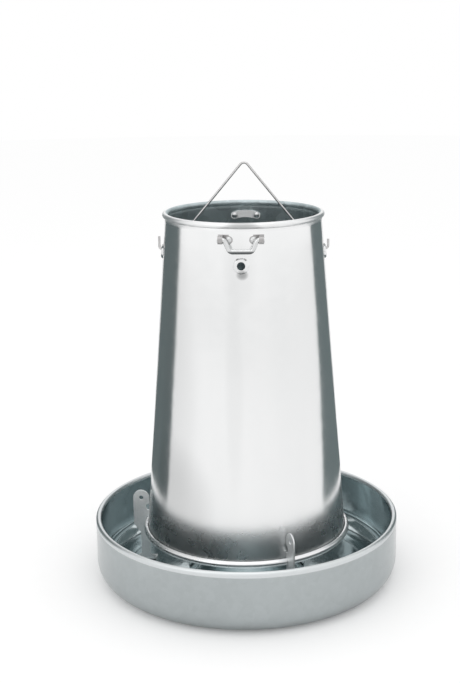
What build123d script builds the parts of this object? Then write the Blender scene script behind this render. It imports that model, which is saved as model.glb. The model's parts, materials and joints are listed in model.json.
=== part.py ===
from build123d import *
import os
from math import acos, asin, cos, degrees, radians, sin, sqrt, tan

# Hanging poultry feeder in galvanised sheet: a conical hopper carried over a round pan by
# three notched brackets, with a wire bail to hang it and two drop handles to carry it.
# Millimetres, +Z up. The origin is the middle of the face that the pan stands on, and the
# front, with its handle and spare eye, faces -Y.

# Pan
PAN_RADIUS = 210.0
PAN_HEIGHT = 88.5
PAN_SHEET = 0.8
PAN_CORNER_RADIUS = 28.0
PAN_CURL_RADIUS = 3.5
PAN_CURL_TURN = 305.0
FLOOR_LIFT = 3.0
FOOT_RING_WIDTH = 10.0
FLOOR_STEP_BEND = 5.0
FLOOR_STEP_ANGLE = 35.0

# Hopper
HOPPER_TOP_RADIUS = 103.3
HOPPER_BOTTOM_RADIUS = 137.3
HOPPER_LENGTH = 430.2
HOPPER_SHEET = 0.7
BEAD_RADIUS = 4.6
BEAD_OFFSET = 1.5
RIM_BEAD_RADIUS = 3.6
RIM_BEAD_OFFSET = 0.6
BEAD_NECK_BEND = 3.0
BEAD_CURL_TURN = 320.0
SEAM_AZIMUTH = 30.0
SEAM_WIDTH = 7.0
SEAM_HEIGHT = 1.5
SEAM_END_GAP = 5.0

# Eyes pressed outwards through the hopper wall: two carry the bail, two are spare
EYE_AZIMUTHS = (-90.0, 0.0, 90.0, 180.0)
EYE_DROP = 45.0
EYE_HOLE_RADIUS = 5.2
EYE_BASE_RADIUS = 10.4
EYE_RISE = 2.2
EYE_FLANK_ANGLE = 50.0
EYE_CREST_FILLET = 0.9

# Bail
BAIL_WIRE = 3.0
BAIL_APEX_RISE = 75.3
BAIL_APEX_SHIFT = 1.5
BAIL_APEX_BEND = 6.0
BAIL_KNEE_RADIUS = 6.0
BAIL_KNEE_INSET = 10.6
BAIL_STUB_STANDOFF = 2.8
BAIL_STUB_BEND = 3.5
BAIL_STUB_LENGTHS = (17.0, 12.5)
BAIL_EYE_CLEARANCE = 0.6

# Drop handles, their ears and the strip inside the wall
HANDLE_AZIMUTHS = {"front": -90.0, "rear": 90.0}
HANDLE_PIVOT_DROP = 11.5
HANDLE_ROD = 6.0
HANDLE_DROP = 15.0
HANDLE_ELBOW_HALF_WIDTH = 20.5
HANDLE_GRIP_HALF_WIDTH = 14.0
HANDLE_ELBOW_BEND = 4.0
HANDLE_GRIP_BEND = 6.0
HANDLE_PIN_OVERHANG = 1.0
HANDLE_WALL_CLEARANCE = 2.2
EAR_SPACING = 51.6
EAR_WIDTH = 6.0
EAR_WALL = 1.9
EAR_BORE_CLEARANCE = 0.3
EAR_NECK_SHARE = 0.85
EAR_SHEET = 1.2
EAR_FLANGE_HEIGHT = 11.0
HANDLE_RIVET_SPACING = 31.0
HANDLE_RIVET_RADIUS = 2.0
HANDLE_RIVET_HEAD = 4.2
STRIP_GAP = 0.25
STRIP_END_RADIUS = 5.0
STRIP_ARCH_RADIUS = 45.0
STRIP_CROWN_RISE = 1.5
STRIP_SADDLE_HALF_WIDTH = 9.5
STRIP_SADDLE_RISE = 2.2

# Brackets
BRACKET_AZIMUTHS = {"front_right": -66.0, "rear_right": 54.0, "left": 174.0}
BRACKET_SHEET = 2.0
BRACKET_WIDTH = 23.0
NOTCH_PITCH = 18.0
LOWEST_NOTCH_HEIGHT = 49.0
NOTCH_COUNT = 3
USED_NOTCH = 1
BEAD_CLEARANCE = 0.3
BRACKET_HEAD_RISE = 13.5
BRACKET_HOLE_RADIUS = 3.2
BRACKET_LEG_WIDTH = 13.0
SHOULDER_RISE = 9.0
SHOULDER_SLOPE = 12.0
BRACKET_FOOT_LENGTH = 27.0
BRACKET_FOOT_DEPTH = 15.0
BRACKET_BEND = 2.0
BRACKET_FOOT_FLARE = 6.0
FOOT_RIVET_SPACING = 15.0
FOOT_RIVET_RADIUS = 2.2
FOOT_RIVET_HEAD = 4.0
FOOT_RIVET_LINE = 0.62

# Spreader cone
CONE_RADIUS = 92.0
CONE_ANGLE = 38.0
CONE_SHEET = 0.7
CONE_TIP_BEND = 12.0
CONE_HEM_BEND = 4.0
CONE_HEM_WIDTH = 9.0

# Fits and heads
SEAT_GAP = 0.1
RIVET_HOLE_CLEARANCE = 0.1
HEAD_RISE_SHARE = 0.45


def heading_vector(heading):
    """Unit step along a heading in degrees."""
    return Vector(cos(radians(heading)), sin(radians(heading)))


def arc_centre(point, heading, radius, turn):
    """Centre of a bend that leaves a point along a heading; a positive turn is to the left."""
    side = 90.0 if turn > 0 else -90.0
    return point + heading_vector(heading + side) * radius


def follow(point, heading, run):
    """Point and heading at the end of one run, (length,) or (bend radius, turn)."""
    if len(run) == 1:
        return point + heading_vector(heading) * run[0], heading
    radius, turn = run
    centre = arc_centre(point, heading, radius, turn)
    return centre + (point - centre).rotate(Axis.Z, turn), heading + turn


def walk(point, heading, runs):
    """Point and heading at the end of several runs."""
    for run in runs:
        point, heading = follow(point, heading, run)
    return point, heading


def sheet_edges(point, heading, runs, offset):
    """Edges beside a sheet's middle line, offset to its left."""
    edges = []
    for run in runs:
        end, end_heading = follow(point, heading, run)
        first = point + heading_vector(heading + 90.0) * offset
        last = end + heading_vector(end_heading + 90.0) * offset
        if len(run) == 1:
            edges.append(Line(first, last))
        else:
            centre = arc_centre(point, heading, *run)
            middle = centre + (first - centre).rotate(Axis.Z, run[1] / 2)
            edges.append(ThreePointArc(first, middle, last))
        point, heading = end, end_heading
    return edges


def sheet_section(point, heading, runs, thickness):
    """Face of a bent sheet's section, in radius and height, turned into the XZ plane."""
    left = sheet_edges(point, heading, runs, thickness / 2)
    right = sheet_edges(point, heading, runs, -thickness / 2)
    start_cap = Line(left[0] @ 0, right[0] @ 0)
    end_cap = Line(left[-1] @ 1, right[-1] @ 1)
    return Plane.XZ * make_face([*left, *right, start_cap, end_cap])


def reversed_runs(runs):
    """The same runs walked from their far end."""
    return [run if len(run) == 1 else (run[0], -run[1]) for run in reversed(runs)]


# Hopper wall: a middle line from its bottom end to its top end, leaning in by the half angle
WALL_LEAN = degrees(asin((HOPPER_BOTTOM_RADIUS - HOPPER_TOP_RADIUS) / HOPPER_LENGTH))
LEAN_SIN = sin(radians(WALL_LEAN))
LEAN_COS = cos(radians(WALL_LEAN))


def bead_runs(radius, offset):
    """Neck and curl of a bead, as runs that leave the wall's end."""
    middle = radius - HOPPER_SHEET / 2
    neck_turn = degrees(acos((offset + BEAD_NECK_BEND) / (BEAD_NECK_BEND + middle)))
    return [(BEAD_NECK_BEND, neck_turn), (middle, -BEAD_CURL_TURN)]


def bead_reach(runs):
    """Distance from the wall's end to the bead's middle, along the wall."""
    (neck_bend, neck_turn), (middle, _) = runs
    return (neck_bend + middle) * sin(radians(neck_turn))


FOOT_BEAD = bead_runs(BEAD_RADIUS, BEAD_OFFSET)
RIM_BEAD = bead_runs(RIM_BEAD_RADIUS, RIM_BEAD_OFFSET)

# The used notch carries the lower bead, and the wall stands on that
BEAD_HEIGHT = LOWEST_NOTCH_HEIGHT + USED_NOTCH * NOTCH_PITCH
BEAD_CENTRE_RADIUS = HOPPER_BOTTOM_RADIUS + bead_reach(FOOT_BEAD) * LEAN_SIN + BEAD_OFFSET * LEAN_COS
WALL_BOTTOM = BEAD_HEIGHT + bead_reach(FOOT_BEAD) * LEAN_COS - BEAD_OFFSET * LEAN_SIN
WALL_TOP = WALL_BOTTOM + HOPPER_LENGTH * LEAN_COS

# Heights that follow the wall's top end
EYE_HEIGHT = WALL_TOP - EYE_DROP
HANDLE_PIVOT_HEIGHT = WALL_TOP - HANDLE_PIVOT_DROP
BAIL_APEX_HEIGHT = WALL_TOP + BAIL_APEX_RISE


def wall_radius(height, depth=0.0):
    """Radius of the hopper wall's outer face at a height, or of a face that deep under it."""
    middle = HOPPER_BOTTOM_RADIUS - (height - WALL_BOTTOM) * tan(radians(WALL_LEAN))
    return middle + (HOPPER_SHEET / 2 - depth) / LEAN_COS


def wall_plane(azimuth, height):
    """Plane on the wall's outer face: X runs round it, Y up it and Z straight out of it."""
    around = Vector(1, 0, 0).rotate(Axis.Z, azimuth)
    outward = around * LEAN_COS + Vector(0, 0, LEAN_SIN)
    origin = around * wall_radius(height) + Vector(0, 0, height)
    return Plane(origin, x_dir=Vector(0, 0, 1).cross(around), z_dir=outward)


def wall_curve(height):
    """Radius of curvature of the wall's outer face across its slope."""
    return wall_radius(height) / LEAN_COS


def rivet(shank_radius, head_radius, bottom, top):
    """Rivet along Z with a domed head outside each of the levels bottom and top."""
    rise = head_radius * HEAD_RISE_SHARE
    corners = [(head_radius, top), (shank_radius, top), (shank_radius, bottom), (head_radius, bottom)]
    side = Polyline(*corners)
    upper = TangentArc((0, top + rise), (head_radius, top), tangent=(1, 0))
    lower = TangentArc((0, bottom - rise), (head_radius, bottom), tangent=(1, 0))
    middle = Line((0, bottom - rise), (0, top + rise))
    return revolve(Plane.XZ * make_face([*side.edges(), upper, lower, middle]), Axis.Z)


def eye_cavity():
    """Hollow behind a pressed eye, and its hole, along Z."""
    slope = 1 / tan(radians(EYE_FLANK_ANGLE))
    flank_inset = HOPPER_SHEET / sin(radians(EYE_FLANK_ANGLE))
    low = -3 * HOPPER_SHEET
    high = EYE_RISE - HOPPER_SHEET
    hollow = Cone(
        EYE_BASE_RADIUS - low * slope - flank_inset,
        EYE_BASE_RADIUS - high * slope - flank_inset,
        high - low,
        align=(Align.CENTER, Align.CENTER, Align.MIN),
    )
    return Pos(0, 0, low) * hollow + Cylinder(EYE_HOLE_RADIUS, 6 * EYE_RISE)


def eye_collar():
    """Outer form of a pressed eye, from below the wall to its crest."""
    slope = 1 / tan(radians(EYE_FLANK_ANGLE))
    low = -3 * HOPPER_SHEET
    form = Cone(
        EYE_BASE_RADIUS - low * slope,
        EYE_BASE_RADIUS - EYE_RISE * slope,
        EYE_RISE - low,
        align=(Align.CENTER, Align.CENTER, Align.MIN),
    )
    form = fillet(form.edges().group_by(Axis.Z)[-1], EYE_CREST_FILLET)
    return Pos(0, 0, low) * form


def hopper_inside():
    """Solid cone that fills the hopper up to the wall's inner face."""
    return Pos(0, 0, WALL_BOTTOM) * Cone(
        wall_radius(WALL_BOTTOM, HOPPER_SHEET),
        wall_radius(WALL_TOP, HOPPER_SHEET),
        WALL_TOP - WALL_BOTTOM,
        align=(Align.CENTER, Align.CENTER, Align.MIN),
    )


def hopper_seam():
    """Grooved lock seam along the wall, proud of its outer face."""
    length = HOPPER_LENGTH - 2 * SEAM_END_GAP
    upwards = (Align.CENTER, Align.CENTER, Align.MIN)
    bar = Box(SEAM_WIDTH, length, SEAM_HEIGHT + HOPPER_SHEET / 2, align=upwards)
    bar = chamfer(bar.faces().sort_by(Axis.Z)[-1].edges(), SEAM_HEIGHT / 2)
    middle = wall_plane(SEAM_AZIMUTH, (WALL_BOTTOM + WALL_TOP) / 2)
    return middle.location * Pos(0, 0, -HOPPER_SHEET / 2) * bar


def make_hopper():
    """Hopper: one rolled sheet with a bead curled round each end, its seam and four eyes."""
    bottom_end = Vector(HOPPER_BOTTOM_RADIUS, WALL_BOTTOM)
    foot_runs = [(bend, -turn) for bend, turn in FOOT_BEAD]
    start, heading = walk(bottom_end, -90.0 + WALL_LEAN, foot_runs)
    runs = [*reversed_runs(foot_runs), (HOPPER_LENGTH,), *RIM_BEAD]
    shell = revolve(sheet_section(start, heading + 180.0, runs, HOPPER_SHEET), Axis.Z)
    shell += hopper_seam()
    inside = hopper_inside()
    for azimuth in EYE_AZIMUTHS:
        place = wall_plane(azimuth, EYE_HEIGHT).location
        collar = place * eye_collar() - inside
        shell = shell + collar - place * eye_cavity()
    for azimuth in HANDLE_AZIMUTHS.values():
        for place in handle_rivet_places(azimuth):
            shell -= place * Cylinder(HANDLE_RIVET_RADIUS + RIVET_HOLE_CLEARANCE, 6 * HOPPER_SHEET)
    return shell


def bail_pivot_height():
    """Height of the wire where it lies under the top of its eye."""
    return EYE_HEIGHT + EYE_HOLE_RADIUS - BAIL_WIRE / 2 - BAIL_EYE_CLEARANCE


def make_bail():
    """Bail: one wire, a triangle inside the hopper whose ends pass out through two eyes."""
    level = bail_pivot_height()
    knee = wall_radius(EYE_HEIGHT) - BAIL_KNEE_INSET
    stub = wall_radius(EYE_HEIGHT) + EYE_RISE + BAIL_STUB_STANDOFF
    left_top = level + BAIL_STUB_LENGTHS[0]
    right_top = level + BAIL_STUB_LENGTHS[1]
    route = FilletPolyline(
        (-stub, 0, left_top),
        (-stub, 0, level),
        (-knee, 0, level),
        (BAIL_APEX_SHIFT, 0, BAIL_APEX_HEIGHT),
        (knee, 0, level),
        (stub, 0, level),
        (stub, 0, right_top),
        radius=[BAIL_STUB_BEND, BAIL_KNEE_RADIUS, BAIL_APEX_BEND, BAIL_KNEE_RADIUS, BAIL_STUB_BEND],
    )
    section = Plane(route @ 0, z_dir=route % 0) * Circle(BAIL_WIRE / 2)
    return sweep(section, path=route)


# Handle: its pivot stands off the wall so that the grip hangs clear of it
GRIP_HEIGHT = HANDLE_PIVOT_HEIGHT - HANDLE_DROP
PIVOT_RADIUS = wall_radius(GRIP_HEIGHT - HANDLE_ROD / 2) + HANDLE_WALL_CLEARANCE + HANDLE_ROD / 2
PIVOT_STANDOFF = PIVOT_RADIUS - wall_radius(HANDLE_PIVOT_HEIGHT)


def handle_rivet_places(azimuth):
    """Locations on the wall of one handle's two rivets."""
    height = rivet_height()
    swing = degrees(asin(HANDLE_RIVET_SPACING / 2 / wall_radius(height)))
    return [wall_plane(azimuth + side * swing, height).location for side in (-1, 1)]


def rivet_height():
    """Height of the handle rivets, level with the strip's ends."""
    drop = STRIP_ARCH_RADIUS - sqrt(STRIP_ARCH_RADIUS**2 - (HANDLE_RIVET_SPACING / 2) ** 2)
    return HANDLE_PIVOT_HEIGHT + STRIP_CROWN_RISE - drop


def curved_piece(outline, inner_radius, thickness):
    """Sheet cut to an outline and rolled to a radius, in the frame of a wall plane."""
    prism = extrude(outline, amount=EAR_SPACING, both=True)
    length = 2 * EAR_SPACING
    tube = Cylinder(inner_radius + thickness, length) - Cylinder(inner_radius, length)
    curve = wall_curve(HANDLE_PIVOT_HEIGHT)
    return prism & (Pos(0, 0, -curve) * Rot(X=90) * tube)


def ear_lug(side):
    """Knuckle of an ear: a strip folded round the pin, solid down to the flange."""
    curve = wall_curve(HANDLE_PIVOT_HEIGHT)
    level = -PIVOT_STANDOFF * LEAN_SIN
    standoff = PIVOT_STANDOFF * LEAN_COS
    reach = HANDLE_ROD / 2 + EAR_BORE_CLEARANCE + EAR_WALL
    half = EAR_FLANGE_HEIGHT / 2
    base = -(curve - sqrt(curve**2 - (EAR_SPACING / 2 + EAR_WIDTH) ** 2))
    waist = reach * EAR_NECK_SHARE
    sides = [(-half, base), (half, base), (level + waist, standoff), (level - waist, standoff)]
    neck = Polygon(*sides, align=None)
    profile = neck + Pos(level, standoff) * Circle(reach)
    profile -= Pos(level, standoff) * Circle(HANDLE_ROD / 2 + EAR_BORE_CLEARANCE)
    near_side = side * EAR_SPACING / 2 - EAR_WIDTH / 2
    cut = Plane(origin=(near_side, 0, 0), x_dir=(0, 1, 0), z_dir=(1, 0, 0))
    lug = extrude(cut * profile, amount=EAR_WIDTH)
    wall = Pos(0, 0, -curve) * Rot(X=90) * Cylinder(curve + SEAT_GAP, 8 * EAR_FLANGE_HEIGHT)
    return lug - wall


def make_ear(azimuth, side):
    """Ear: a flange rolled to the wall, with the knuckle that holds one end of a handle."""
    curve = wall_curve(HANDLE_PIVOT_HEIGHT)
    rivet_level = rivet_height() - HANDLE_PIVOT_HEIGHT
    outer = EAR_SPACING / 2 + EAR_WIDTH / 2
    inner = HANDLE_RIVET_SPACING / 2
    plate = Pos(side * (outer + inner) / 2, 0) * Rectangle(outer - inner, EAR_FLANGE_HEIGHT)
    plate += Pos(side * inner, rivet_level) * Circle(STRIP_END_RADIUS)
    flange = curved_piece(plate, curve + SEAT_GAP, EAR_SHEET)
    ear = wall_plane(azimuth, HANDLE_PIVOT_HEIGHT).location * (flange + ear_lug(side))
    for place in handle_rivet_places(azimuth):
        ear -= place * Cylinder(HANDLE_RIVET_RADIUS + RIVET_HOLE_CLEARANCE, 8 * EAR_SHEET)
    return ear


def make_strip(azimuth):
    """Arched strip inside the wall that joins one handle's rivets, raised in its middle."""
    curve = wall_curve(HANDLE_PIVOT_HEIGHT)
    middle = STRIP_CROWN_RISE - STRIP_ARCH_RADIUS
    ring = Circle(STRIP_ARCH_RADIUS + STRIP_END_RADIUS) - Circle(STRIP_ARCH_RADIUS - STRIP_END_RADIUS)
    sector = Pos(0, STRIP_ARCH_RADIUS) * Rectangle(HANDLE_RIVET_SPACING, 4 * STRIP_END_RADIUS)
    band = Pos(0, middle) * (ring & sector)
    for side in (-1, 1):
        end = Pos(side * HANDLE_RIVET_SPACING / 2, rivet_height() - HANDLE_PIVOT_HEIGHT)
        band += end * Circle(STRIP_END_RADIUS)
    seat = curve - HOPPER_SHEET - STRIP_GAP
    strip = curved_piece(band, seat - EAR_SHEET, EAR_SHEET)
    crown = band & Rectangle(2 * STRIP_SADDLE_HALF_WIDTH, 8 * STRIP_END_RADIUS)
    hollow = band & Rectangle(2 * (STRIP_SADDLE_HALF_WIDTH - EAR_SHEET), 8 * STRIP_END_RADIUS)
    raised = curved_piece(crown, seat - EAR_SHEET - STRIP_SADDLE_RISE, EAR_SHEET + STRIP_SADDLE_RISE)
    strip = strip + raised - curved_piece(hollow, seat - STRIP_SADDLE_RISE, 2 * STRIP_SADDLE_RISE)
    strip = wall_plane(azimuth, HANDLE_PIVOT_HEIGHT).location * strip
    for place in handle_rivet_places(azimuth):
        strip -= place * Cylinder(HANDLE_RIVET_RADIUS + RIVET_HOLE_CLEARANCE, 8 * EAR_SHEET)
    return strip


def make_handle_rivets(azimuth):
    """The two rivets that clamp a handle's ears, the wall and the strip."""
    top = EAR_SHEET + 2 * SEAT_GAP
    bottom = -(HOPPER_SHEET + EAR_SHEET + STRIP_GAP + SEAT_GAP)
    one = rivet(HANDLE_RIVET_RADIUS, HANDLE_RIVET_HEAD, bottom, top)
    return Compound(children=[place * one for place in handle_rivet_places(azimuth)])


def make_handle(azimuth):
    """Drop handle: one rod whose bent ends turn in the ears, hanging straight down."""
    pin = EAR_SPACING / 2 + EAR_WIDTH / 2 + HANDLE_PIN_OVERHANG
    elbow, grip = HANDLE_ELBOW_HALF_WIDTH, HANDLE_GRIP_HALF_WIDTH
    top, low = HANDLE_PIVOT_HEIGHT, GRIP_HEIGHT
    route = FilletPolyline(
        (-pin, -PIVOT_RADIUS, top),
        (-elbow, -PIVOT_RADIUS, top),
        (-grip, -PIVOT_RADIUS, low),
        (grip, -PIVOT_RADIUS, low),
        (elbow, -PIVOT_RADIUS, top),
        (pin, -PIVOT_RADIUS, top),
        radius=[HANDLE_ELBOW_BEND, HANDLE_GRIP_BEND, HANDLE_GRIP_BEND, HANDLE_ELBOW_BEND],
    )
    section = Plane(route @ 0, z_dir=route % 0) * Circle(HANDLE_ROD / 2)
    return Rot(Z=azimuth + 90.0) * sweep(section, path=route)


def foot_rivet_places(azimuth):
    """Locations under the pan of the two rivets in one bracket's foot."""
    middle = BRACKET_INNER + BRACKET_LEG_WIDTH / 2
    line = -BRACKET_FOOT_DEPTH * FOOT_RIVET_LINE
    reaches = [middle + side * FOOT_RIVET_SPACING / 2 for side in (-1, 1)]
    return [Rot(Z=azimuth) * Pos(reach, line, 0) for reach in reaches]


# Bracket edges, from the bead that they carry, and the floor that they stand on
BRACKET_INNER = BEAD_CENTRE_RADIUS - BEAD_CLEARANCE
FLOOR_TOP = FLOOR_LIFT + PAN_SHEET


def bracket_outline():
    """Upright of a bracket in radius and height: round head, notched inner edge and leg."""
    outer = BRACKET_INNER + BRACKET_WIDTH
    leg_outer = BRACKET_INNER + BRACKET_LEG_WIDTH
    head = LOWEST_NOTCH_HEIGHT + (NOTCH_COUNT - 1) * NOTCH_PITCH + BRACKET_HEAD_RISE
    middle = BRACKET_INNER + BRACKET_LEG_WIDTH / 2
    foot_half = BRACKET_FOOT_LENGTH / 2
    flare = FLOOR_TOP + BRACKET_SHEET + BRACKET_BEND
    shoulder = LOWEST_NOTCH_HEIGHT + SHOULDER_RISE
    upper = Polygon(
        (BRACKET_INNER, flare),
        (leg_outer, flare),
        (leg_outer, shoulder - SHOULDER_SLOPE),
        (outer, shoulder),
        (outer, head),
        (BRACKET_INNER, head),
        align=None,
    )
    skirt = Polygon(
        (middle - foot_half, flare),
        (middle + foot_half, flare),
        (leg_outer, flare + BRACKET_FOOT_FLARE),
        (BRACKET_INNER, flare + BRACKET_FOOT_FLARE),
        align=None,
    )
    plate = upper + skirt + Pos(BRACKET_INNER + BRACKET_WIDTH / 2, head) * Circle(BRACKET_WIDTH / 2)
    for number in range(NOTCH_COUNT):
        level = LOWEST_NOTCH_HEIGHT + number * NOTCH_PITCH
        plate -= Pos(BEAD_CENTRE_RADIUS, level) * Circle(BEAD_RADIUS + BEAD_CLEARANCE)
    return plate - Pos(BRACKET_INNER + BRACKET_WIDTH / 2, head) * Circle(BRACKET_HOLE_RADIUS)


def make_bracket(azimuth):
    """Bracket: an upright plate in a radial plane, bent at its foot onto the pan's floor."""
    upright = extrude(Plane.XZ * bracket_outline(), amount=BRACKET_SHEET / 2, both=True)
    middle_bend = BRACKET_BEND + BRACKET_SHEET / 2
    start = Vector(0, FLOOR_TOP + BRACKET_SHEET + BRACKET_BEND)
    runs = [(middle_bend, -90.0), (BRACKET_FOOT_DEPTH - BRACKET_BEND - BRACKET_SHEET / 2,)]
    section = sheet_section(start, -90.0, runs, BRACKET_SHEET)
    foot = extrude(Rot(Z=90) * section, amount=BRACKET_FOOT_LENGTH / 2, both=True)
    bracket = upright + Pos(BRACKET_INNER + BRACKET_LEG_WIDTH / 2, 0, 0) * foot
    for place in foot_rivet_places(0.0):
        bracket -= place * foot_rivet_hole()
    return Rot(Z=azimuth) * bracket


def foot_rivet_hole():
    """Drill through a bracket's foot and the pan's floor."""
    return Pos(0, 0, FLOOR_TOP) * Cylinder(FOOT_RIVET_RADIUS + RIVET_HOLE_CLEARANCE, 4 * BRACKET_SHEET)


def make_foot_rivets(azimuth):
    """The two rivets through a bracket's foot and the pan's floor."""
    bottom = FLOOR_LIFT - SEAT_GAP
    top = FLOOR_TOP + BRACKET_SHEET + SEAT_GAP
    one = rivet(FOOT_RIVET_RADIUS, FOOT_RIVET_HEAD, bottom, top)
    return Compound(children=[place * one for place in foot_rivet_places(azimuth)])


def make_pan():
    """Pan: a drawn dish with a lifted floor, a round corner and its rim curled inwards."""
    wall_middle = PAN_RADIUS - PAN_SHEET / 2
    corner = PAN_CORNER_RADIUS - PAN_SHEET / 2
    curl = PAN_CURL_RADIUS - PAN_SHEET / 2
    bend = FLOOR_STEP_BEND
    turn = radians(FLOOR_STEP_ANGLE)
    slope = (FLOOR_LIFT - 2 * bend * (1 - cos(turn))) / sin(turn)
    step_width = 2 * bend * sin(turn) + slope * cos(turn)
    floor = wall_middle - corner - FOOT_RING_WIDTH - step_width
    runs = [
        (floor,),
        (bend, -FLOOR_STEP_ANGLE),
        (slope,),
        (bend, FLOOR_STEP_ANGLE),
        (FOOT_RING_WIDTH,),
        (corner, 90.0),
        (PAN_HEIGHT - PAN_CURL_RADIUS - PAN_CORNER_RADIUS,),
        (curl, PAN_CURL_TURN),
    ]
    start = Vector(0, FLOOR_LIFT + PAN_SHEET / 2)
    pan = revolve(sheet_section(start, 0.0, runs, PAN_SHEET), Axis.Z)
    for azimuth in BRACKET_AZIMUTHS.values():
        for place in foot_rivet_places(azimuth):
            pan -= place * foot_rivet_hole()
    return pan


def make_spreader():
    """Spreader cone: a round tip, a straight flank and a flat hem welded to the floor."""
    turn = radians(CONE_ANGLE)
    bends = CONE_TIP_BEND + CONE_HEM_BEND
    flank = (CONE_RADIUS - CONE_HEM_WIDTH - bends * sin(turn)) / cos(turn)
    height = bends * (1 - cos(turn)) + flank * sin(turn)
    runs = [
        (CONE_TIP_BEND, -CONE_ANGLE),
        (flank,),
        (CONE_HEM_BEND, CONE_ANGLE),
        (CONE_HEM_WIDTH,),
    ]
    start = Vector(0, FLOOR_TOP + CONE_SHEET / 2 + height)
    return revolve(sheet_section(start, 0.0, runs, CONE_SHEET), Axis.Z)


def main():
    os.makedirs("parts", exist_ok=True)
    nodes = {
        "pan": make_pan(),
        "spreader_cone": make_spreader(),
        "hopper_shell": make_hopper(),
        "bail": make_bail(),
    }
    for name, azimuth in BRACKET_AZIMUTHS.items():
        nodes[f"bracket_{name}"] = make_bracket(azimuth)
        nodes[f"bracket_rivets_{name}"] = make_foot_rivets(azimuth)
    for name, azimuth in HANDLE_AZIMUTHS.items():
        nodes[f"{name}_handle"] = make_handle(azimuth)
        nodes[f"{name}_handle_strip"] = make_strip(azimuth)
        nodes[f"{name}_handle_rivets"] = make_handle_rivets(azimuth)
        for end, side in (("left", -1), ("right", 1)):
            nodes[f"{name}_ear_{end}"] = make_ear(azimuth, side)
    for name, shape in nodes.items():
        export_step(shape, f"parts/{name}.step")
    print("bail pivot", (0.0, 0.0, round(bail_pivot_height(), 3)))
    print("handle pivot", (round(PIVOT_RADIUS, 3), round(HANDLE_PIVOT_HEIGHT, 3)))


main()
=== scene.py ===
import json
from math import acos, asin, cos, degrees, pi, radians, sin, tan

import bmesh
import bpy
from mathutils import Matrix, Vector


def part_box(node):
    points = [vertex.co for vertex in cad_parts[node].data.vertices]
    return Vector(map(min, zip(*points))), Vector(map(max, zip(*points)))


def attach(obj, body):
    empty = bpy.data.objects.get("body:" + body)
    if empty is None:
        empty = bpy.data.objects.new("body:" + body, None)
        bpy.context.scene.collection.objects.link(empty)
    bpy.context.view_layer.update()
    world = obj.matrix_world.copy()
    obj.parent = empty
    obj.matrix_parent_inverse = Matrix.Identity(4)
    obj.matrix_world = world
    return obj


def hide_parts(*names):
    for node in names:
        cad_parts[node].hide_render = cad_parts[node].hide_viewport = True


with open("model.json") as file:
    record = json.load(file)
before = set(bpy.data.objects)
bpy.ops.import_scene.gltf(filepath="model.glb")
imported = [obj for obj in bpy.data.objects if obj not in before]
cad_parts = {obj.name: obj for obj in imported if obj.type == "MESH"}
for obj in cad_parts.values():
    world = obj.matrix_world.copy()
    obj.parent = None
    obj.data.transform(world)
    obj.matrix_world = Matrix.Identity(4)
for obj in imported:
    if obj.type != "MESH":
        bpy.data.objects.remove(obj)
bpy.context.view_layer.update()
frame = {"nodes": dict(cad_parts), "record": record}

# Hanging poultry feeder: smooth sheet and wire around the fixed frame, in metres, +Z up.

# Sheet and rod sizes
PAN_RADIUS = 0.210
PAN_TOP = 0.0885
PAN_SHEET = 0.0008
PAN_CORNER = 0.028
PAN_CURL = 0.0035
PAN_CURL_TURN = 305.0
FLOOR_LIFT = 0.003
FOOT_RING = 0.010
STEP_BEND = 0.005
STEP_TURN = 35.0
WALL_SHEET = 0.0007
WALL_TOP_RADIUS = 0.1033
WALL_FOOT_RADIUS = 0.1373
WALL_LENGTH = 0.4302
FOOT_BEAD = (0.0046, 0.0015)
RIM_BEAD = (0.0036, 0.0006)
BEAD_NECK = 0.003
BEAD_CURL_TURN = 320.0
SEAM_AZIMUTH = 30.0
SEAM_WIDTH = 0.007
SEAM_HEIGHT = 0.0015
SEAM_END_GAP = 0.005
EYE_RISE = 0.0022
EYE_HOLE = 0.0052
EYE_BASE = 0.0104
EYE_FLANK = 50.0
EYE_ROUND = 0.0009
EYE_ROUND_STEPS = 6
EYE_SUNK = -0.0003
EYE_BAND = 0.032
EYE_RINGS = 16
WIRE = 0.003
BAIL_APEX = (0.0015, 0.0753)
BAIL_KNEE_INSET = 0.0106
BAIL_STUB_STANDOFF = 0.0028
BAIL_STUBS = (0.017, 0.0125)
BAIL_BENDS = (0.0035, 0.006, 0.006, 0.006, 0.0035)
BAIL_CLEARANCE = 0.0006
HANDLE_ROD = 0.006
HANDLE_ELBOW = 0.0205
HANDLE_GRIP = 0.014
HANDLE_DROP = 0.015
HANDLE_BENDS = (0.004, 0.006, 0.006, 0.004)
CONE_TURN = 38.0
CONE_TIP_BEND = 0.012
CONE_HEM_BEND = 0.004
CONE_HEM = 0.009

# Painted shade and reflections, dark grey patches in the colour of the wall's front: middle, height, half width,
# half height and depth
PAINTED_SHADE_MARKS = (
    (0.0013, 0.4450, 0.0075, 0.0065, 0.55),
    (0.0015, 0.5070, 0.0210, 0.0050, 0.45),
    (-0.0030, 0.4500, 0.0220, 0.0450, 0.07),
    (-0.0100, 0.3000, 0.0120, 0.1500, 0.05),
    (-0.0950, 0.3000, 0.0350, 0.2000, 0.12),
    (-0.0950, 0.1300, 0.0550, 0.0900, 0.24),
)

# Smoothness
ROUND_STEPS = 288
BEND_STEP = 8.0
ROD_SIDES = 32
CREASE = radians(32.0)

# Camera, from the photograph's perspective; the frame is 460 x 683 pixels
FRAME_HEIGHT = 683
FOCAL_PIXELS = 1218.13
CAMERA_AZIMUTH = 1.8
CAMERA_DISTANCE = 1.6007
CAMERA_HEIGHT = 0.7474
CAMERA_PITCH = 0.25424
CAMERA_ROLL = -0.0101
AXIS_OFFSET_PIXELS = 14.58
SENSOR = 36.0


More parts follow.
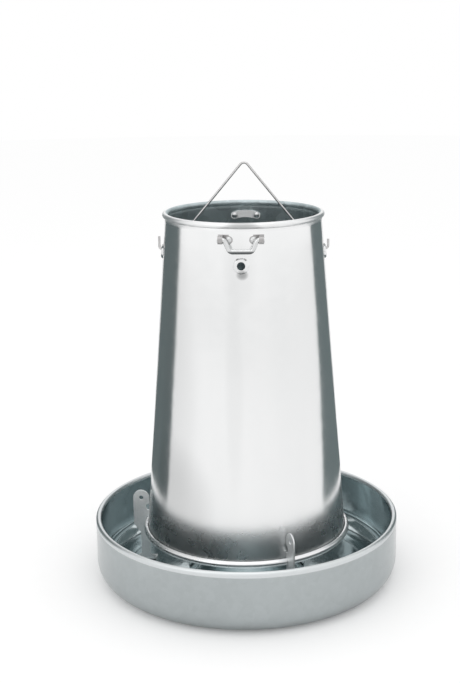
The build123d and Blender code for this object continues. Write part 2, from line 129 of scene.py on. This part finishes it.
def finished(name, bm, creases=True):
    """Object from a bmesh, smooth but for its sharp edges, with its place in its mesh."""
    mesh = bpy.data.meshes.new(name)
    bmesh.ops.remove_doubles(bm, verts=bm.verts, dist=1e-6)
    bmesh.ops.recalc_face_normals(bm, faces=bm.faces)
    bm.to_mesh(mesh)
    bm.free()
    mesh.polygons.foreach_set("use_smooth", [True] * len(mesh.polygons))
    if creases:
        mesh.set_sharp_from_angle(angle=CREASE)
    piece = bpy.data.objects.new(name, mesh)
    bpy.context.collection.objects.link(piece)
    return piece


def step_along(point, heading, run):
    """End of one run in radius and height: (length,) or (bend radius, turn), left turns positive."""
    if len(run) == 1:
        return point + Matrix.Rotation(radians(heading), 2) @ Vector((run[0], 0.0)), heading
    radius, turn = run
    side = 1.0 if turn > 0 else -1.0
    centre = point + Matrix.Rotation(radians(heading), 2) @ Vector((0.0, side * radius))
    return centre + Matrix.Rotation(radians(turn), 2) @ (point - centre), heading + turn


def sheet_line(point, heading, runs, offset):
    """Points beside a bent sheet's middle line, offset to its left, with its bends divided."""
    stops = [(point, heading)]
    for run in runs:
        pieces = 1 if len(run) == 1 else max(2, round(abs(run[1]) / BEND_STEP))
        share = (run[0] / pieces,) if len(run) == 1 else (run[0], run[1] / pieces)
        for _ in range(pieces):
            stops.append(step_along(*stops[-1], share))
    left = Vector((0.0, offset))
    return [spot + Matrix.Rotation(radians(turned), 2) @ left for spot, turned in stops]


def turned_solid(outline, steps=ROUND_STEPS):
    """Solid turned about Z from a closed outline of radius and height."""
    bm = bmesh.new()
    verts = [bm.verts.new((radius, 0.0, height)) for radius, height in outline]
    edges = [bm.edges.new(pair) for pair in zip(verts, verts[1:] + verts[:1])]
    bmesh.ops.spin(
        bm, geom=verts + edges, cent=(0, 0, 0), axis=(0, 0, 1), angle=2 * pi, steps=steps, use_merge=True
    )
    return bm


def turned_sheet(point, heading, runs, thickness, steps=ROUND_STEPS):
    """Bent sheet turned about Z, as a closed solid of its true thickness."""
    left = sheet_line(point, heading, runs, thickness / 2)
    right = sheet_line(point, heading, runs, -thickness / 2)
    return turned_solid(left + right[::-1], steps)


def bent_rod(name, corners, bends, radius):
    """Round rod along straight runs joined by true bends, with plain ends."""
    corners = [Vector(corner) for corner in corners]
    heading = (corners[1] - corners[0]).normalized()
    bm = bmesh.new()
    place = Matrix.Translation(corners[0]) @ heading.to_track_quat("Z", "Y").to_matrix().to_4x4()
    bmesh.ops.create_circle(bm, cap_ends=True, radius=radius, segments=ROD_SIDES, matrix=place)
    rim = list(bm.edges)
    here = corners[0]
    for corner, after, bend in zip(corners[1:-1], corners[2:], bends):
        ahead = (after - corner).normalized()
        turn = heading.angle(ahead)
        start = corner - heading * bend * tan(turn / 2)
        rim = pushed(bm, rim, start - here)
        axis = heading.cross(ahead).normalized()
        centre = start + axis.cross(heading) * bend
        steps = max(3, round(degrees(turn) / BEND_STEP))
        spun = bmesh.ops.spin(bm, geom=rim, cent=centre, axis=axis, angle=turn, steps=steps)
        rim = [item for item in spun["geom_last"] if isinstance(item, bmesh.types.BMEdge)]
        here = corner + ahead * bend * tan(turn / 2)
        heading = ahead
    rim = pushed(bm, rim, corners[-1] - here)
    bmesh.ops.contextual_create(bm, geom=rim)
    return finished(name, bm)


def pushed(bm, rim, step):
    """Rim drawn out along a straight run; gives the new rim."""
    made = bmesh.ops.extrude_edge_only(bm, edges=rim)["geom"]
    verts = [item for item in made if isinstance(item, bmesh.types.BMVert)]
    bmesh.ops.translate(bm, verts=verts, vec=step)
    corners = set(verts)
    return [item for item in made if isinstance(item, bmesh.types.BMEdge) and set(item.verts) <= corners]


def cut_by(piece, tool, operation):
    """Piece joined with a tool's form or relieved by it; the tool is used up."""
    modifier = piece.modifiers.new("cut", "BOOLEAN")
    modifier.object = tool
    modifier.operation = operation
    modifier.solver = "EXACT"
    bpy.context.view_layer.update()
    solved = piece.evaluated_get(bpy.context.evaluated_depsgraph_get())
    mesh = bpy.data.meshes.new_from_object(solved)
    piece.modifiers.clear()
    old = piece.data
    piece.data = mesh
    bpy.data.meshes.remove(old)
    bpy.data.objects.remove(tool)
    mesh.polygons.foreach_set("use_smooth", [True] * len(mesh.polygons))
    mesh.set_sharp_from_angle(angle=CREASE)


def bead_runs(radius, offset):
    """Neck and curl of a bead, as runs that leave the wall's end."""
    middle = radius - WALL_SHEET / 2
    neck_turn = degrees(acos((offset + BEAD_NECK) / (BEAD_NECK + middle)))
    return [(BEAD_NECK, neck_turn), (middle, -BEAD_CURL_TURN)]


# Hopper wall, from the lower bead that the frame gives
LEAN = asin((WALL_FOOT_RADIUS - WALL_TOP_RADIUS) / WALL_LENGTH)
FOOT_REACH = (BEAD_NECK + bead_runs(*FOOT_BEAD)[1][0]) * sin(radians(bead_runs(*FOOT_BEAD)[0][1]))
BEAD_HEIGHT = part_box("hopper_shell")[0].z + FOOT_BEAD[0]
WALL_FOOT = BEAD_HEIGHT + FOOT_REACH * cos(LEAN) - FOOT_BEAD[1] * sin(LEAN)
WALL_TOP = WALL_FOOT + WALL_LENGTH * cos(LEAN)


def wall_radius(height):
    """Radius of the wall's outer face at a height."""
    return WALL_FOOT_RADIUS - (height - WALL_FOOT) * tan(LEAN) + WALL_SHEET / 2 / cos(LEAN)


def wall_place(azimuth, height):
    """Matrix on the wall's outer face: X runs round it, Y up it and Z straight out of it."""
    around = Matrix.Rotation(radians(azimuth + 90.0), 4, "Z")
    tilt = Matrix.Rotation(pi / 2 - LEAN, 4, "X")
    return around @ Matrix.Translation((0.0, -wall_radius(height), height)) @ tilt


def eye_tools(azimuth, height):
    """Collar and hollow of one pressed eye, on the wall."""
    slope = 1 / tan(radians(EYE_FLANK))
    inset = WALL_SHEET / sin(radians(EYE_FLANK))
    low = -3 * WALL_SHEET
    crest = EYE_BASE - EYE_RISE * slope
    turn = radians(EYE_FLANK)
    setback = EYE_ROUND * tan(turn / 2)
    centre = (crest - setback, EYE_RISE - EYE_ROUND)
    steps = [turn * (1 - step / EYE_ROUND_STEPS) for step in range(EYE_ROUND_STEPS + 1)]
    collar = [(0.0, EYE_SUNK), (EYE_BASE - EYE_SUNK * slope, EYE_SUNK)]
    collar += [(centre[0] + EYE_ROUND * sin(step), centre[1] + EYE_ROUND * cos(step)) for step in steps]
    collar += [(0.0, EYE_RISE)]
    top = EYE_RISE - WALL_SHEET
    hollow = [
        (0.0, low),
        (EYE_BASE - low * slope - inset, low),
        (EYE_BASE - top * slope - inset, top),
        (EYE_HOLE, top),
        (EYE_HOLE, 3 * EYE_RISE),
        (0.0, 3 * EYE_RISE),
    ]
    tools = []
    for outline in (collar, hollow):
        bm = turned_solid(outline, steps=64)
        bmesh.ops.transform(bm, matrix=wall_place(azimuth, height), verts=bm.verts)
        tools.append(finished("eye_tool", bm))
    return tools


def make_hopper():
    """Hopper: rolled sheet with a bead curled round each end, its seam and four eyes."""
    foot = [(bend, -turn) for bend, turn in bead_runs(*FOOT_BEAD)]
    spot, heading = Vector((WALL_FOOT_RADIUS, WALL_FOOT)), -90.0 + degrees(LEAN)
    for run in foot:
        spot, heading = step_along(spot, heading, run)
    back = [(run[0], -run[1]) for run in reversed(foot)]
    eye_height = next(m["pos_m"][2] for m in frame["record"]["mounts"] if m["name"] == "front_eye")
    eye_height -= (EYE_RISE - WALL_SHEET / 2) * sin(LEAN)
    below = (eye_height - EYE_BAND / 2 - WALL_FOOT) / cos(LEAN)
    ring = EYE_BAND / EYE_RINGS
    wall = [(below,), *[(ring,)] * EYE_RINGS, (WALL_LENGTH - below - EYE_BAND,)]
    bm = turned_sheet(spot, heading + 180.0, [*back, *wall, *bead_runs(*RIM_BEAD)], WALL_SHEET)
    hopper = finished("hopper", bm)
    for azimuth in (-90.0, 0.0, 90.0, 180.0):
        collar, hollow = eye_tools(azimuth, eye_height)
        cut_by(hopper, collar, "UNION")
        cut_by(hopper, hollow, "DIFFERENCE")
    cut_by(hopper, seam_bar(), "UNION")
    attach(hopper, "feeder")
    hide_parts("hopper_shell")
    return hopper


def seam_bar():
    """Lock seam along the wall, as a bar with sloped flanks."""
    length = WALL_LENGTH - 2 * SEAM_END_GAP
    bm = bmesh.new()
    bmesh.ops.create_cube(bm, size=1.0)
    bmesh.ops.scale(bm, vec=(SEAM_WIDTH, length, SEAM_HEIGHT + WALL_SHEET / 2), verts=bm.verts)
    bmesh.ops.translate(bm, vec=(0, 0, SEAM_HEIGHT / 2 - WALL_SHEET / 4), verts=bm.verts)
    top = [edge for edge in bm.edges if all(vert.co.z > SEAM_HEIGHT / 2 for vert in edge.verts)]
    bmesh.ops.bevel(
        bm, geom=top, offset=SEAM_HEIGHT / 2, affect="EDGES", segments=3, profile=0.5, material=-1
    )
    middle = (WALL_FOOT + WALL_TOP) / 2
    bmesh.ops.transform(bm, matrix=wall_place(SEAM_AZIMUTH, middle), verts=bm.verts)
    return finished("seam_tool", bm)


def make_pan():
    """Pan: drawn dish with a lifted floor, a round corner and its rim curled inwards."""
    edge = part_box("pan")[1]
    wall = edge.x - PAN_SHEET / 2
    corner = PAN_CORNER - PAN_SHEET / 2
    turn = radians(STEP_TURN)
    slope = (FLOOR_LIFT - 2 * STEP_BEND * (1 - cos(turn))) / sin(turn)
    floor = wall - corner - FOOT_RING - 2 * STEP_BEND * sin(turn) - slope * cos(turn)
    runs = [
        (floor,),
        (STEP_BEND, -STEP_TURN),
        (slope,),
        (STEP_BEND, STEP_TURN),
        (FOOT_RING,),
        (corner, 90.0),
        (edge.z - PAN_CURL - PAN_CORNER,),
        (PAN_CURL - PAN_SHEET / 2, PAN_CURL_TURN),
    ]
    bm = turned_sheet(Vector((0.0, FLOOR_LIFT + PAN_SHEET / 2)), 0.0, runs, PAN_SHEET)
    pan = finished("pan_dish", bm)
    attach(pan, "feeder")
    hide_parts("pan")
    return pan


def make_spreader():
    """Spreader cone: round tip, straight flank and flat hem."""
    low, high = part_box("spreader_cone")
    turn = radians(CONE_TURN)
    flank = (high.x - CONE_HEM - (CONE_TIP_BEND + CONE_HEM_BEND) * sin(turn)) / cos(turn)
    runs = [(CONE_TIP_BEND, -CONE_TURN), (flank,), (CONE_HEM_BEND, CONE_TURN), (CONE_HEM,)]
    bm = turned_sheet(Vector((0.0, high.z - WALL_SHEET / 2)), 0.0, runs, WALL_SHEET)
    cone = finished("spreader", bm)
    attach(cone, "feeder")
    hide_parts("spreader_cone")
    return cone


def joint_named(name):
    return next(joint for joint in frame["record"]["behaviour"]["joints"] if joint["name"] == name)


def make_bail():
    """Bail: one wire, a triangle inside the hopper with its ends turned up outside."""
    level = joint_named("bail_hinge")["pos_m"][2]
    eye = wall_radius(level - EYE_HOLE + WIRE / 2 + BAIL_CLEARANCE)
    knee = eye - BAIL_KNEE_INSET
    stub = eye + EYE_RISE + BAIL_STUB_STANDOFF
    corners = [
        (-stub, 0, level + BAIL_STUBS[0]),
        (-stub, 0, level),
        (-knee, 0, level),
        (BAIL_APEX[0], 0, WALL_TOP + BAIL_APEX[1]),
        (knee, 0, level),
        (stub, 0, level),
        (stub, 0, level + BAIL_STUBS[1]),
    ]
    bail = bent_rod("bail_wire_loop", corners, BAIL_BENDS, WIRE / 2)
    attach(bail, "bail_wire")
    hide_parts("bail")
    return bail


def make_handle(side):
    """Drop handle: one bent rod whose ends turn in the ears."""
    pivot = Vector(joint_named(f"{side}_handle_hinge")["pos_m"])
    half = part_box(f"{side}_handle")[1].x
    low = pivot.z - HANDLE_DROP
    corners = [
        (-half, pivot.y, pivot.z),
        (-HANDLE_ELBOW, pivot.y, pivot.z),
        (-HANDLE_GRIP, pivot.y, low),
        (HANDLE_GRIP, pivot.y, low),
        (HANDLE_ELBOW, pivot.y, pivot.z),
        (half, pivot.y, pivot.z),
    ]
    handle = bent_rod(f"{side}_grip", corners, HANDLE_BENDS, HANDLE_ROD / 2)
    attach(handle, f"{side}_drop_handle")
    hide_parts(f"{side}_handle")
    return handle


def softened(name, node, width):
    """Copy of a sheet-metal node with its cut edges slightly rounded."""
    source = frame["nodes"][node]
    bm = bmesh.new()
    bm.from_mesh(source.data)
    bmesh.ops.transform(bm, matrix=source.matrix_world, verts=bm.verts)
    bmesh.ops.remove_doubles(bm, verts=bm.verts, dist=1e-5)
    bmesh.ops.dissolve_limit(bm, angle_limit=radians(0.6), verts=bm.verts, edges=bm.edges)
    sharp = [edge for edge in bm.edges if edge.is_manifold and edge.calc_face_angle() > CREASE]
    bmesh.ops.bevel(
        bm, geom=sharp, offset=width, affect="EDGES", segments=3, profile=0.5, clamp_overlap=True, material=-1
    )
    bmesh.ops.triangulate(bm, faces=[face for face in bm.faces if len(face.verts) > 4])
    piece = finished(name, bm)
    weigh = piece.modifiers.new("even", "WEIGHTED_NORMAL")
    weigh.keep_sharp = True
    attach(piece, "feeder")
    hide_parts(node)
    return piece


class Field:
    """A value that changes over a surface; sums and products of it add their own nodes."""

    def __init__(self, finish, socket):
        self.finish = finish
        self.socket = socket

    def joined(self, operation, first, second):
        node = self.finish.add("ShaderNodeMath", {"operation": operation}, {0: first, 1: second})
        return Field(self.finish, node.outputs[0])

    def __add__(self, other):
        return self.joined("ADD", self, other)

    def __radd__(self, other):
        return self.joined("ADD", other, self)

    def __sub__(self, other):
        return self.joined("SUBTRACT", self, other)

    def __rsub__(self, other):
        return self.joined("SUBTRACT", other, self)

    def __mul__(self, other):
        return self.joined("MULTIPLY", self, other)

    def __rmul__(self, other):
        return self.joined("MULTIPLY", other, self)

    def __truediv__(self, other):
        return self.joined("DIVIDE", self, other)

    def __pow__(self, other):
        return self.joined("POWER", self, other)

    def at_least(self, low):
        return self.joined("MAXIMUM", self, low)

    def over(self, low, high):
        """0 below low and 1 above high, with a soft rise between."""
        settings = {"interpolation_type": "SMOOTHSTEP"}
        node = self.finish.add("ShaderNodeMapRange", settings, {"Value": self, "From Min": low, "From Max": high})
        return Field(self.finish, node.outputs["Result"])


class Finish:
    """One material, made up of fields on the piece's own coordinates."""

    def __init__(self, name, metallic=1.0):
        self.material = bpy.data.materials.new(name)
        self.material.use_nodes = True
        self.tree = self.material.node_tree
        self.shader = self.tree.nodes["Principled BSDF"]
        self.shader.inputs["Metallic"].default_value = metallic
        self.place = Field(self, self.add("ShaderNodeTexCoord").outputs["Object"])

    def add(self, kind, settings=None, sockets=None):
        """Node of a kind, with its settings first and then its sockets' values or links."""
        node = self.tree.nodes.new(kind)
        for key, value in (settings or {}).items():
            setattr(node, key, value)
        for key, value in (sockets or {}).items():
            if isinstance(value, Field):
                self.tree.links.new(value.socket, node.inputs[key])
            else:
                node.inputs[key].default_value = value
        return node

    def stretched(self, scale):
        """Coordinates scaled by a different amount each way."""
        node = self.add("ShaderNodeMapping", None, {"Vector": self.place, "Scale": scale})
        return Field(self, node.outputs["Vector"])

    def noise(self, scale, detail=3.0, place=None, roughness=0.5):
        sockets = {"Vector": place or self.place, "Scale": scale, "Detail": detail, "Roughness": roughness}
        return Field(self, self.add("ShaderNodeTexNoise", None, sockets).outputs[0])

    def cells(self, scale, place=None):
        """Crystal cells: a different even grey in each."""
        sockets = {"Vector": place or self.place, "Scale": scale}
        node = self.add("ShaderNodeTexVoronoi", {"feature": "F1"}, sockets)
        split = self.add("ShaderNodeSeparateColor", None, {"Color": Field(self, node.outputs["Color"])})
        return Field(self, split.outputs[0])

    def axes(self):
        node = self.add("ShaderNodeSeparateXYZ", None, {"Vector": self.place})
        return [Field(self, socket) for socket in node.outputs]

    def blend(self, factor, first, second):
        """Colour between two colours or colour fields."""
        settings = {"data_type": "RGBA"}
        node = self.add("ShaderNodeMix", settings, {0: factor, 6: first, 7: second})
        return Field(self, node.outputs[2])

    def bump(self, height, depth, below=None):
        sockets = {"Height": height, "Distance": depth}
        if below:
            sockets["Normal"] = below
        return Field(self, self.add("ShaderNodeBump", None, sockets).outputs["Normal"])

    def feed(self, **sockets):
        """Links fields, or sets plain values, on the shader's sockets."""
        for key, value in sockets.items():
            socket = self.shader.inputs[key.replace("_", " ")]
            if isinstance(value, Field):
                self.tree.links.new(value.socket, socket)
            else:
                socket.default_value = value


def grey(level, warmth=0.0):
    """Colour of a plain linear grey, slightly warm or cool."""
    return (level * (1 + warmth), level, level * (1 - 0.2 * warmth), 1.0)


def wall_finish():
    """Bright hot-dipped sheet of the hopper: glossy outside, duller inside, with painted shade: a darker inner
    face and dark grey patches of painted shade and reflection on the front.
    """
    finish = Finish("bright_zinc")
    x, y, z = finish.axes()
    reach = (x * x + y * y) ** 0.5
    outer = WALL_FOOT_RADIUS - (z - WALL_FOOT) * tan(LEAN)
    outside = (reach - outer).over(-0.0001, 0.0001)
    rim = z.over(WALL_TOP - 0.004, WALL_TOP + 0.0008)
    spangle = finish.cells(95.0)
    cloud = finish.noise(9.0, 4.0)
    streak = finish.noise(24.0, 3.0, finish.stretched((1.0, 1.0, 0.12)))
    foot = 1.0 - z.over(0.10, 0.30)
    tone = (spangle - 0.5) * 0.05 + (cloud - 0.5) * 0.05 + (streak - 0.5) * 0.6
    tone = tone + foot * (cloud - 0.6) * 0.4
    # Painted shade and reflections: dark grey patches, on the front only
    front = (0.0 - y).over(0.05, 0.07)
    painted_shade = 0.0
    for middle, height, half_width, half_height, depth in PAINTED_SHADE_MARKS:
        across = (x - middle) / half_width
        along = (z - height) / half_height
        painted_shade = painted_shade + (1.0 - (across * across + along * along).over(0.0, 1.4)) * depth
    unshaded_tone = finish.blend(tone + 0.5, grey(0.84, -0.014), grey(0.95, 0.0))
    bright = finish.blend(painted_shade * front, unshaded_tone, grey(0.12, -0.04))
    # Inner face: darker, cooler colour as painted shade; its higher roughness is the sheet's own
    inner_tone = (spangle - 0.5) * 0.5 + (cloud - 0.5) * 0.8
    dull_shaded_inside = finish.blend(inner_tone + 0.5, grey(0.50, -0.12), grey(0.84, -0.10))
    base = 1.0 - z.over(BEAD_HEIGHT + 0.03, BEAD_HEIGHT + 0.08)
    rough = base * 0.12 + 0.16 + (spangle - 0.5) * 0.03 + (cloud - 0.5) * 0.08 + (1 - outside) * 0.22 + rim * 0.24
    ripple = finish.noise(14.0, 2.0)
    finish.feed(
        Base_Color=finish.blend(outside, dull_shaded_inside, bright),
        Roughness=rough,
        Normal=finish.bump(ripple, 0.0006),
    )
    return finish.material


def pan_finish():
    """Greyer sheet of the pan, with a fine grain, and painted light: a darker inner wall as painted shade, and a
    lighter floor, inner corner and rim as painted highlight.
    """
    finish = Finish("dull_zinc")
    x, y, z = finish.axes()
    past = ((x * x + y * y) ** 0.5 - (PAN_RADIUS - PAN_CORNER)).at_least(0.0)
    under = (PAN_CORNER - z).at_least(0.0)
    inside = 1.0 - ((past * past + under * under) ** 0.5).over(PAN_CORNER - 0.7 * PAN_SHEET, PAN_CORNER - 0.3 * PAN_SHEET)
    spangle = finish.cells(130.0)
    cloud = finish.noise(12.0, 5.0)
    tone = (spangle - 0.5) * 0.25 + (cloud - 0.5) * 0.9
    # Painted light inside the pan: inner wall darker as painted shade, floor and corner lighter as painted
    # highlight
    deep = 1.0 - z.over(0.024, 0.034)
    # Rim band: light colour as a painted highlight, with a rougher finish
    rim = z.over(PAN_TOP - 2 * PAN_CURL - 0.001, PAN_TOP - 2 * PAN_CURL + 0.001)
    outer_tone = finish.blend(tone + 0.5, grey(0.43, -0.07), grey(0.53, -0.07))
    shaded_wall_tone = finish.blend(tone + 0.5, grey(0.36, -0.12), grey(0.46, -0.12))
    highlit_floor_tone = finish.blend(tone + 0.5, grey(0.60, -0.10), grey(0.72, -0.10))
    inner_tone = finish.blend(deep, shaded_wall_tone, highlit_floor_tone)
    body_tone = finish.blend(inside, outer_tone, inner_tone)
    finish.feed(
        Base_Color=finish.blend(rim, body_tone, grey(0.74, -0.04)),
        Roughness=0.14 + (spangle - 0.5) * 0.04 + (cloud - 0.5) * 0.08 - inside * 0.03 + rim * 0.25,
        Normal=finish.bump(finish.noise(20.0, 3.0), 0.0005, finish.bump(spangle, 0.00002)),
    )
    return finish.material


def plain_finish(name, low, high, roughness, warmth=-0.01, grain=400.0, metallic=1.0):
    """Small zinc-coated steel piece with a fine uneven tone."""
    finish = Finish(name, metallic)
    cloud = finish.noise(grain, 4.0)
    finish.feed(
        Base_Color=finish.blend(cloud, grey(low, warmth), grey(high, warmth)),
        Roughness=roughness + (cloud - 0.5) * 0.15,
        Normal=finish.bump(cloud, 0.00004),
    )
    return finish.material


def grip_finish(level):
    """Plated rod, with painted shade: its underside below the grip, which lies at a level, coloured nearly black
    and made rougher.
    """
    finish = Finish("plated_rod")
    z = finish.axes()[2]
    cloud = finish.noise(400.0, 4.0)
    # Painted shade: below the grip's level the rod is coloured nearly black
    under = 1.0 - z.over(level - 0.0006, level + 0.0022)
    rod_tone = finish.blend(cloud, grey(0.66, -0.01), grey(0.80, -0.01))
    finish.feed(
        Base_Color=finish.blend(under, rod_tone, grey(0.13, -0.06)),
        Roughness=0.16 + (cloud - 0.5) * 0.12 + under * 0.2,
        Normal=finish.bump(cloud, 0.00003),
    )
    return finish.material


def dress(names, material):
    """The same finish on pieces or on the frame's nodes."""
    for name in names:
        piece = frame["nodes"].get(name) or bpy.data.objects[name]
        piece.data.materials.clear()
        piece.data.materials.append(material)


def unlit(name, strength):
    """Even glow for a card that metal reflects."""
    material = bpy.data.materials.new(name)
    material.use_nodes = True
    tree = material.node_tree
    tree.nodes.clear()
    glow = tree.nodes.new("ShaderNodeEmission")
    glow.inputs["Strength"].default_value = strength
    glow.inputs["Color"].default_value = (0.80, 0.98, 1.0, 1.0)
    out = tree.nodes.new("ShaderNodeOutputMaterial")
    tree.links.new(glow.outputs[0], out.inputs["Surface"])
    return material


def make_flag(name, near, far, end, strength):
    """Grey card round one side, from the floor up, that only metal sees. Angles are from the camera."""
    profile = [(0.46, 0.002, near), (2.2, 0.004, far), (2.6, 0.3, far), (2.6, 2.4, far)]
    bm = bmesh.new()
    columns = 24
    bmesh.ops.create_grid(bm, x_segments=columns, y_segments=len(profile) - 1, size=0.5)
    for vert in bm.verts:
        radius, height, start = profile[round((vert.co.y + 0.5) * (len(profile) - 1))]
        angle = radians(CAMERA_AZIMUTH - 90.0 + start + (end - start) * (vert.co.x + 0.5))
        vert.co = (radius * cos(angle), radius * sin(angle), height)
    card = finished(name, bm)
    card.data.materials.append(unlit(name + "_tone", strength))
    card.visible_camera = False
    card.visible_diffuse = False
    card.visible_shadow = False
    card.visible_transmission = False


def make_studio():
    """Pale floor, even white surroundings and two soft lamps."""
    bm = bmesh.new()
    bmesh.ops.create_circle(bm, cap_ends=True, radius=7.0, segments=96)
    bmesh.ops.translate(bm, vec=(0, 0, -0.0002), verts=bm.verts)
    floor = finished("floor", bm)
    material = bpy.data.materials.new("pale_floor")
    material.use_nodes = True
    nodes, links = material.node_tree.nodes, material.node_tree.links
    shader = nodes["Principled BSDF"]
    shader.inputs["Base Color"].default_value = (0.90, 0.90, 0.90, 1.0)
    shader.inputs["Roughness"].default_value = 1.0
    shader.inputs["Specular IOR Level"].default_value = 0.0
    shader.inputs["Emission Color"].default_value = (1.0, 1.0, 1.0, 1.0)
    path = nodes.new("ShaderNodeLightPath")
    lift = nodes.new("ShaderNodeMath")
    lift.operation = "MULTIPLY_ADD"
    lift.inputs[1].default_value = 0.10
    lift.inputs[2].default_value = 0.03
    links.new(path.outputs["Is Camera Ray"], lift.inputs[0])
    links.new(lift.outputs[0], shader.inputs["Emission Strength"])
    floor.data.materials.append(material)

    world = bpy.data.worlds.new("studio")
    bpy.context.scene.world = world
    world.use_nodes = True
    tree = world.node_tree
    backing = tree.nodes["Background"]
    backing.inputs["Color"].default_value = (1.0, 1.0, 1.0, 1.0)
    path = tree.nodes.new("ShaderNodeLightPath")
    seen = tree.nodes.new("ShaderNodeMath")
    seen.operation = "MAXIMUM"
    tree.links.new(path.outputs["Is Camera Ray"], seen.inputs[0])
    tree.links.new(path.outputs["Is Glossy Ray"], seen.inputs[1])
    level = tree.nodes.new("ShaderNodeMapRange")
    level.inputs["To Min"].default_value = 0.95
    level.inputs["To Max"].default_value = 1.0
    tree.links.new(seen.outputs[0], level.inputs["Value"])
    tree.links.new(level.outputs[0], backing.inputs["Strength"])

    for name, spot, size, power in (
        ("overhead", (0.0, -0.6, 2.3), 1.8, 5.0),
        ("front_left", (-1.6, -1.9, 1.5), 1.2, 3.0),
    ):
        lamp = bpy.data.lights.new(name, "AREA")
        lamp.shape = "SQUARE"
        lamp.size = size
        lamp.energy = power
        holder = bpy.data.objects.new(name, lamp)
        holder.location = spot
        aim = Vector((0.0, 0.0, 0.2)) - Vector(spot)
        holder.rotation_mode = "QUATERNION"
        holder.rotation_quaternion = aim.to_track_quat("-Z", "Y")
        bpy.context.collection.objects.link(holder)


def make_camera():
    """Camera at the photograph's place, level, tilt and lens."""
    lens = bpy.data.cameras.new("camera")
    lens.sensor_width = SENSOR
    lens.lens = FOCAL_PIXELS * SENSOR / FRAME_HEIGHT
    lens.shift_x = -AXIS_OFFSET_PIXELS / FRAME_HEIGHT
    camera = bpy.data.objects.new("camera", lens)
    bpy.context.collection.objects.link(camera)
    swing = Matrix.Rotation(radians(CAMERA_AZIMUTH), 4, "Z")
    place = Matrix.Translation((0.0, -CAMERA_DISTANCE, CAMERA_HEIGHT))
    tilt = Matrix.Rotation(pi / 2 - CAMERA_PITCH, 4, "X")
    roll = Matrix.Rotation(CAMERA_ROLL, 4, "Z")
    camera.matrix_world = swing @ place @ tilt @ roll
    bpy.context.scene.camera = camera


make_camera()
hopper = make_hopper()
pan = make_pan()
cone = make_spreader()
bail = make_bail()
handles = [make_handle(side) for side in ("front", "rear")]
brackets = [name for name in frame["nodes"] if name.startswith("bracket") and "rivets" not in name]
ears = [name for name in frame["nodes"] if "_ear_" in name]
strips = [name for name in frame["nodes"] if name.endswith("_strip")]
for node in brackets + strips:
    softened(node + "_plate", node, 0.0003)
for node in ears:
    softened(node + "_lug", node, 0.0003)

dress(["hopper"], wall_finish())
dress(["pan_dish", "spreader"], pan_finish())
dress(["bail_wire_loop"], plain_finish("wire_zinc", 0.52, 0.74, 0.35, 0.02))
dress(["front_grip", "rear_grip"], grip_finish(joint_named("front_handle_hinge")["pos_m"][2] - HANDLE_DROP))
dress([name + "_plate" for name in brackets], plain_finish("bracket_zinc", 0.70, 0.90, 0.45, -0.03, metallic=0.7))
dress([name for name in frame["nodes"] if "rivets" in name], plain_finish("rivet_metal", 0.6, 0.75, 0.3))
dress([name + "_lug" for name in ears], plain_finish("ear_zinc", 0.34, 0.50, 0.34, 0.02))
dress([name + "_plate" for name in strips], plain_finish("strip_zinc", 0.93, 0.99, 0.5, 0.0, metallic=0.1))

make_flag("left_flag", -94.0, -101.0, -155.0, 0.15)
make_flag("right_flag", 88.0, 111.0, 155.0, 0.18)
make_studio()

bpy.context.scene.view_settings.view_transform = "Standard"
